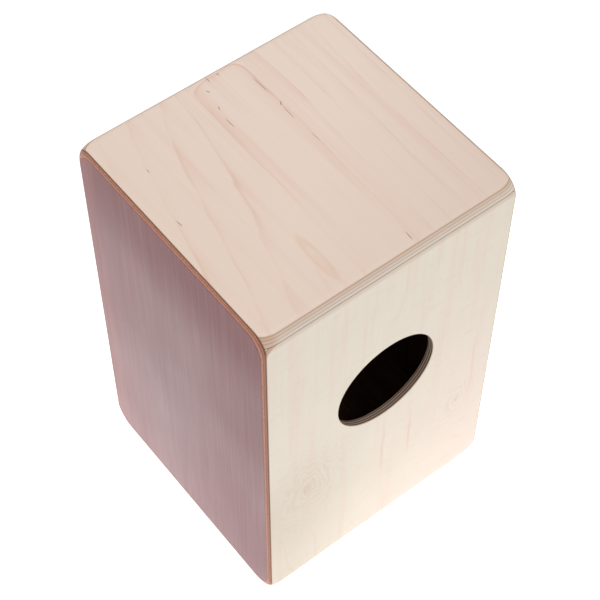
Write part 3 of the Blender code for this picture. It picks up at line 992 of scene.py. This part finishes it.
def loop_face(name, low, high):
    """Loop pad: backing with an uneven napped face toward -Y."""
    columns = 36
    rows = 52
    shape = bmesh.new()
    sheets = []
    for front in (True, False):
        grid = []
        for row in range(rows + 1):
            line = []
            for column in range(columns + 1):
                x = low.x + (high.x - low.x) * column / columns
                z = low.z + (high.z - low.z) * row / rows
                edge = min(column, columns - column, row, rows - row)
                nap = math.sin(column * 2.9 + row * 1.7) + math.sin(column * 1.3 - row * 3.7)
                fuzz = 0.0006 if edge == 0 else 0.000075 * (2 - nap)
                y = low.y + fuzz if front else high.y
                line.append(shape.verts.new((x, y, z)))
            grid.append(line)
        for row in range(rows):
            for column in range(columns):
                shape.faces.new((grid[row][column], grid[row][column + 1],
                                 grid[row + 1][column + 1], grid[row + 1][column]))
        rim = [grid[0][c] for c in range(columns)] + [grid[r][columns] for r in range(rows)]
        rim += [grid[rows][c] for c in range(columns, 0, -1)] + [grid[r][0] for r in range(rows, 0, -1)]
        sheets.append(rim)
    ring_faces(shape, sheets)
    return new_object(name, shape)


# Inner pieces: materials

def spruce_material():
    """Rough-sawn softwood battens, grain along Y."""
    tree = Tree("batten_spruce")
    slow = tree.noise(tree.scaled(30.0, 0.8, 30.0), detail=1.0)
    height = tree.add(tree.mul(tree.x, 520.0), tree.mul(tree.z, 260.0), tree.mul(slow, 5.0))
    rings = tree.math("FRACT", height)
    late = tree.mul(tree.ramp(rings, 0.35, 0.92), tree.ramp(rings, 0.94, 1.0, 1.0, 0.0))
    grain = fibres(tree, 1)
    dust = tree.noise(tree.at, 70.0, detail=3.0)
    colour = tree.layers(
        (196, 160, 118),
        (tree.mul(late, 0.75), (148, 104, 66)),
        (tree.ramp(grain, 0.45, 0.85, 0.0, 0.30), (128, 90, 60)),
        (tree.ramp(dust, 0.5, 0.8, 0.0, 0.25), (206, 180, 148)))
    saw = tree.noise(tree.scaled(120.0, 1400.0, 120.0), detail=1.0)
    roughness = tree.add(tree.ramp(grain, 0.25, 0.8, -0.05, 0.08), tree.mul(late, -0.06), 0.72)
    tree.bump(tree.add(grain, tree.mul(late, -0.5), tree.mul(saw, 0.5)), 0.00010)
    return tree.finish(colour, roughness, Specular_IOR_Level=0.3)


def beech_material(name, along):
    """Planed beech with its short dark ray flecks, grain along one axis."""
    tree = Tree(name)
    scales = [1500.0] * 3
    scales[along] = 330.0
    rays = tree.ramp(tree.noise(tree.scaled(*scales), detail=1.0), 0.64, 0.70)
    grain = fibres(tree, along)
    handled = tree.noise(tree.at, 42.0, detail=3.0)
    colour = tree.layers(
        (206, 160, 118),
        (tree.ramp(bands(tree, along, 0.006), 0.3, 0.7), (184, 132, 92)),
        (tree.mul(rays, 0.6), (140, 88, 58)),
        (tree.ramp(grain, 0.45, 0.85, 0.0, 0.22), (160, 108, 72)),
        (tree.ramp(handled, 0.55, 0.8, 0.0, 0.18), (120, 82, 58)))
    roughness = tree.add(tree.ramp(grain, 0.25, 0.8, -0.04, 0.06),
                         tree.ramp(handled, 0.4, 0.8, 0.0, -0.08), 0.55)
    tree.bump(tree.add(grain, tree.mul(rays, -0.6)), 0.00005)
    return tree.finish(colour, roughness, Specular_IOR_Level=0.4)


def rubber_material():
    """Black rubber, chalky where it meets the floor."""
    tree = Tree("foot_rubber")
    grain = tree.noise(tree.at, 1500.0, detail=3.0)
    smudge = tree.noise(tree.at, 220.0, detail=3.0)
    colour = tree.mix(tree.ramp(smudge, 0.35, 0.75), (26, 26, 27), (42, 41, 41))
    low = tree.ramp(tree.z, 0.0, 0.0022, 1.0, 0.0)
    chalk = tree.mul(low, tree.ramp(grain, 0.4, 0.75))
    colour = tree.mix(tree.mul(chalk, 0.6), colour, (104, 100, 96))
    roughness = tree.add(tree.ramp(smudge, 0.3, 0.8, -0.06, 0.10), tree.mul(chalk, 0.12), 0.62)
    tree.bump(grain, 0.00006)
    return tree.finish(colour, roughness, Specular_IOR_Level=0.4)


def steel_material(name, bright, dull, roughness_at, tarnish):
    """Plated or drawn steel: cloudy sheen, hairline scratches and tarnished spots."""
    tree = Tree(name)
    cloud = tree.noise(tree.at, 260.0, detail=3.0)
    scratch = tree.noise(tree.scaled(9000.0, 500.0, 500.0), detail=1.0)
    spot = tree.ramp(tree.noise(tree.at, 620.0, detail=4.0), 0.60, 0.72)
    colour = tree.layers(bright, (tree.ramp(cloud, 0.3, 0.7), dull), (tree.mul(spot, tarnish), (112, 92, 72)))
    roughness = tree.add(tree.ramp(cloud, 0.3, 0.75, -0.05, 0.10),
                         tree.ramp(scratch, 0.62, 0.7, 0.0, 0.12), tree.mul(spot, 0.25), roughness_at)
    tree.bump(tree.add(scratch, tree.mul(spot, 0.5)), 0.00001)
    return tree.finish(colour, roughness, Metallic=1.0)


def fabric_material():
    """Black nylon of the hook-and-loop pads, with lint."""
    tree = Tree("pad_nylon")
    weave = tree.noise(tree.at, 3600.0)
    lint = tree.ramp(tree.noise(tree.scaled(900.0, 900.0, 3200.0)), 0.66, 0.74)
    colour = tree.mix(tree.ramp(weave, 0.3, 0.7), (20, 20, 22), (46, 45, 48))
    colour = tree.mix(tree.mul(lint, 0.5), colour, (132, 126, 118))
    roughness = tree.ramp(weave, 0.3, 0.7, 0.85, 0.95)
    tree.bump(weave, 0.00010)
    return tree.finish(colour, roughness, Sheen_Weight=0.25, Specular_IOR_Level=0.3)


# Inner pieces: made and placed

spruce = spruce_material()
for level in ("top", "bottom"):
    for side in ("left", "right"):
        node = f"corner_batten_{level}_{side}"
        batten = block(f"batten_{level}_{side}", *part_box(node), 0.0015, 3)
        smooth(batten)
        place(batten, spruce, "box", "batten_wood", node)

rubber = rubber_material()
zinc = steel_material("screw_zinc", (206, 206, 200), (176, 176, 170), 0.30, 0.35)
for end in ("front", "back"):
    for side in ("left", "right"):
        node = f"rubber_foot_{end}_{side}"
        low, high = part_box(node)
        x = (low.x + high.x) / 2
        y = (low.y + high.y) / 2
        place(foot(node, x, y), rubber, "box", "foot_rubber", node)
        node = f"foot_screw_{end}_{side}"
        low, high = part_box(node)
        made = screw(f"foot_fixing_{end}_{side}", FOOT_SHANK, (high.x - low.x) / 2, FOOT_HEAD_HEIGHT,
                     high.z - low.z - FOOT_HEAD_HEIGHT, FOOT_SCREW_PITCH,
                     Matrix.Translation((x, y, low.z + FOOT_HEAD_HEIGHT)))
        place(made, zinc, "box", "screw_steel", node)
        bore(base, FOOT_BORE, (x, y, BASE_LOW), (0, 0, 1), high.z - BASE_LOW + PAST_SCREW)
smooth(base)

BAR_BODY_HALF = 0.112
BAR_END_THICKNESS = 0.012
low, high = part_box("snare_bar")
bar_front = low.y
end_front = high.y - BAR_END_THICKNESS
bar_profile = ((low.x, high.y), (high.x, high.y), (high.x, end_front),
               (BAR_BODY_HALF, end_front), (BAR_BODY_HALF, bar_front),
               (-BAR_BODY_HALF, bar_front), (-BAR_BODY_HALF, end_front), (low.x, end_front))
bar = prism("bar", bar_profile, low.z, high.z, 0.0010, 3)
beech_along = beech_material("bar_beech", 0)
beech_upright = beech_material("holder_beech", 2)
nylon = fabric_material()
wire = steel_material("wire_steel", (214, 214, 216), (186, 186, 190), 0.22, 0.15)

COMB_PLATE = 0.015
COMB_HALF_THICKNESS = 0.0004
COMB_LENGTH = 0.190
COMB_Z = 0.421
COMB_OFF_BAR = 0.0010
COMB_TILT = math.radians(1.1)
CLAMP_SCREW_OFFSET = 0.016
for side in ("left", "right"):
    low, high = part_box(f"snare_wires_{side}")
    middle = (low.x + high.x) / 2
    half = (high.x - low.x) / 2
    comb = block(f"wires_{side}", (-half, -COMB_PLATE / 2, -COMB_HALF_THICKNESS),
                 (half, COMB_PLATE / 2, COMB_HALF_THICKNESS), 0.00015, 1)
    for end in ("a", "b"):
        node = f"clamp_screw_{side}_{end}"
        screw_low, screw_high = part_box(node)
        screw_x = (screw_low.x + screw_high.x) / 2
        bore(comb, CLAMP_BORE, (screw_x - middle, 0, COMB_HALF_THICKNESS), (0, 0, -1), 0.002)
        bore(bar, CLAMP_BORE, (screw_x, bar_front, COMB_Z), (0, 1, 0), screw_high.y - bar_front + PAST_SCREW)
        head = Matrix.Translation((screw_x, screw_low.y + CLAMP_HEAD_HEIGHT, COMB_Z))
        made = screw(f"clamp_fixing_{side}_{end}", CLAMP_SHANK, (screw_high.x - screw_low.x) / 2,
                     CLAMP_HEAD_HEIGHT, screw_high.y - screw_low.y - CLAMP_HEAD_HEIGHT, CLAMP_SCREW_PITCH,
                     head @ Matrix.Rotation(-math.pi / 2, 4, "X"))
        place(made, zinc, "snare_unit", "screw_steel", node)
    with_more(comb, add_coils, 0.0008 - COMB_PLATE / 2, COMB_LENGTH + 0.0006)
    comb.data.transform(Matrix.Translation((middle, bar_front - COMB_OFF_BAR, COMB_Z))
                        @ Matrix.Rotation(math.pi / 2 - COMB_TILT, 4, "X"))
    smooth(comb, 50)
    place(comb, wire, "snare_unit", "wire_steel", f"snare_wires_{side}")
    clamp_low, clamp_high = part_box(f"snare_clamp_{side}")
    clamp = block(f"clamp_{side}", clamp_low, clamp_high, 0.0003, 2)
    for offset in (-CLAMP_SCREW_OFFSET, CLAMP_SCREW_OFFSET):
        bore(clamp, CLAMP_BORE, (middle + offset, clamp_low.y, COMB_Z), (0, 1, 0), 0.002)
    smooth(clamp)
    place(clamp, zinc, "snare_unit", "screw_steel", f"snare_clamp_{side}")

    holder = block(f"holder_{side}", *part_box(f"bar_holder_{side}"), 0.0015, 3)
    smooth(holder)
    place(holder, beech_upright, "box", "bar_beech", f"bar_holder_{side}")
    low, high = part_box(f"hook_pad_{side}")
    hooks = block(f"hooks_{side}", low, (high.x, high.y - HOOK_HEIGHT, high.z), 0.0002, 1)
    with_more(hooks, add_pegs, low, high)
    smooth(hooks)
    place(hooks, nylon, "box", "pad_fabric", f"hook_pad_{side}")
    loops = loop_face(f"loops_{side}", *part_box(f"loop_pad_{side}"))
    smooth(loops, 60)
    place(loops, nylon, "snare_unit", "pad_fabric", f"loop_pad_{side}")
smooth(bar)
place(bar, beech_along, "snare_unit", "bar_beech", "snare_bar")


# Floor, light and camera

FLOOR_REACH = 8.0
FLOOR_GLOW = 0.20
GLOW_ROUND_BOX = 0.9
GLOW_SPREAD = 0.42
ROOM_LIGHT = 0.62


def floor_material():
    """White paper that glows round the box, as in an overexposed studio, but not under it."""
    tree = Tree("floor_paper")
    mottle = tree.noise(tree.at, 3.0)
    colour = tree.mix(tree.ramp(mottle, 0.3, 0.7), (246, 246, 246), (249, 249, 249))
    out = tree.add(tree.ramp(tree.absolute(tree.x), HALF_WIDTH - 0.012, HALF_WIDTH + 0.004),
                   tree.ramp(tree.absolute(tree.y), HALF_DEPTH - 0.012, HALF_DEPTH + 0.004))
    outside = tree.math("MINIMUM", out, 1.0)
    near = tree.hill(tree.x, tree.y, (0.0, 0.0), (GLOW_SPREAD, GLOW_SPREAD))
    glow = tree.mul(near, outside, GLOW_ROUND_BOX)
    tree.put(tree.shader.inputs["Emission Strength"], tree.add(glow, FLOOR_GLOW))
    return tree.finish(colour, 0.9, Emission_Color=(1.0, 1.0, 1.0, 1.0))


floor_shape = bmesh.new()
bmesh.ops.create_grid(floor_shape, x_segments=8, y_segments=8, size=FLOOR_REACH)
floor = new_object("floor", floor_shape)
floor.data.materials.append(floor_material())

scene = bpy.context.scene
world = bpy.data.worlds.new("studio")
world.use_nodes = True
scene.world = world
background = world.node_tree.nodes["Background"]
background.inputs["Color"].default_value = (1.0, 1.0, 1.0, 1.0)
background.inputs["Strength"].default_value = ROOM_LIGHT
scene.view_settings.view_transform = "Standard"


def softbox(name, place_at, aim_at, size, watts):
    lamp = bpy.data.lights.new(name, "AREA")
    lamp.shape = "RECTANGLE"
    lamp.size, lamp.size_y = size
    lamp.energy = watts
    item = bpy.data.objects.new(name, lamp)
    item.location = place_at
    item.rotation_euler = (Vector(aim_at) - Vector(place_at)).to_track_quat("-Z", "Y").to_euler()
    scene.collection.objects.link(item)


softbox("key", (1.6, 0.6, 2.2), (0.1, 0.0, 0.25), (1.6, 1.6), 14.0)
softbox("top", (0.0, 0.1, 2.6), (0.0, 0.0, 0.5), (1.0, 1.0), 9.0)
softbox("fill", (-1.4, -1.8, 1.8), (0.0, 0.0, 0.25), (2.0, 1.6), 12.0)

# The photograph's view: where the camera looks, from which side, and how long its lens is
CAMERA_AIM = Vector((-0.0064, 0.0108, 0.2584))
CAMERA_AZIMUTH = math.radians(51.76)
CAMERA_ELEVATION = math.radians(54.52)
CAMERA_ROLL = math.radians(0.28)
CAMERA_DISTANCE = 1.797
LENS = 100.38
SENSOR = 36.0

camera_data = bpy.data.cameras.new("camera")
camera_data.lens = LENS
camera_data.sensor_width = SENSOR
camera = bpy.data.objects.new("camera", camera_data)
turn = (Matrix.Rotation(CAMERA_AZIMUTH, 3, "Z") @ Matrix.Rotation(math.pi / 2 - CAMERA_ELEVATION, 3, "X")
        @ Matrix.Rotation(CAMERA_ROLL, 3, "Z"))
camera.rotation_euler = turn.to_euler()
camera.location = CAMERA_AIM + turn @ Vector((0, 0, CAMERA_DISTANCE))
scene.collection.objects.link(camera)
scene.camera = camera
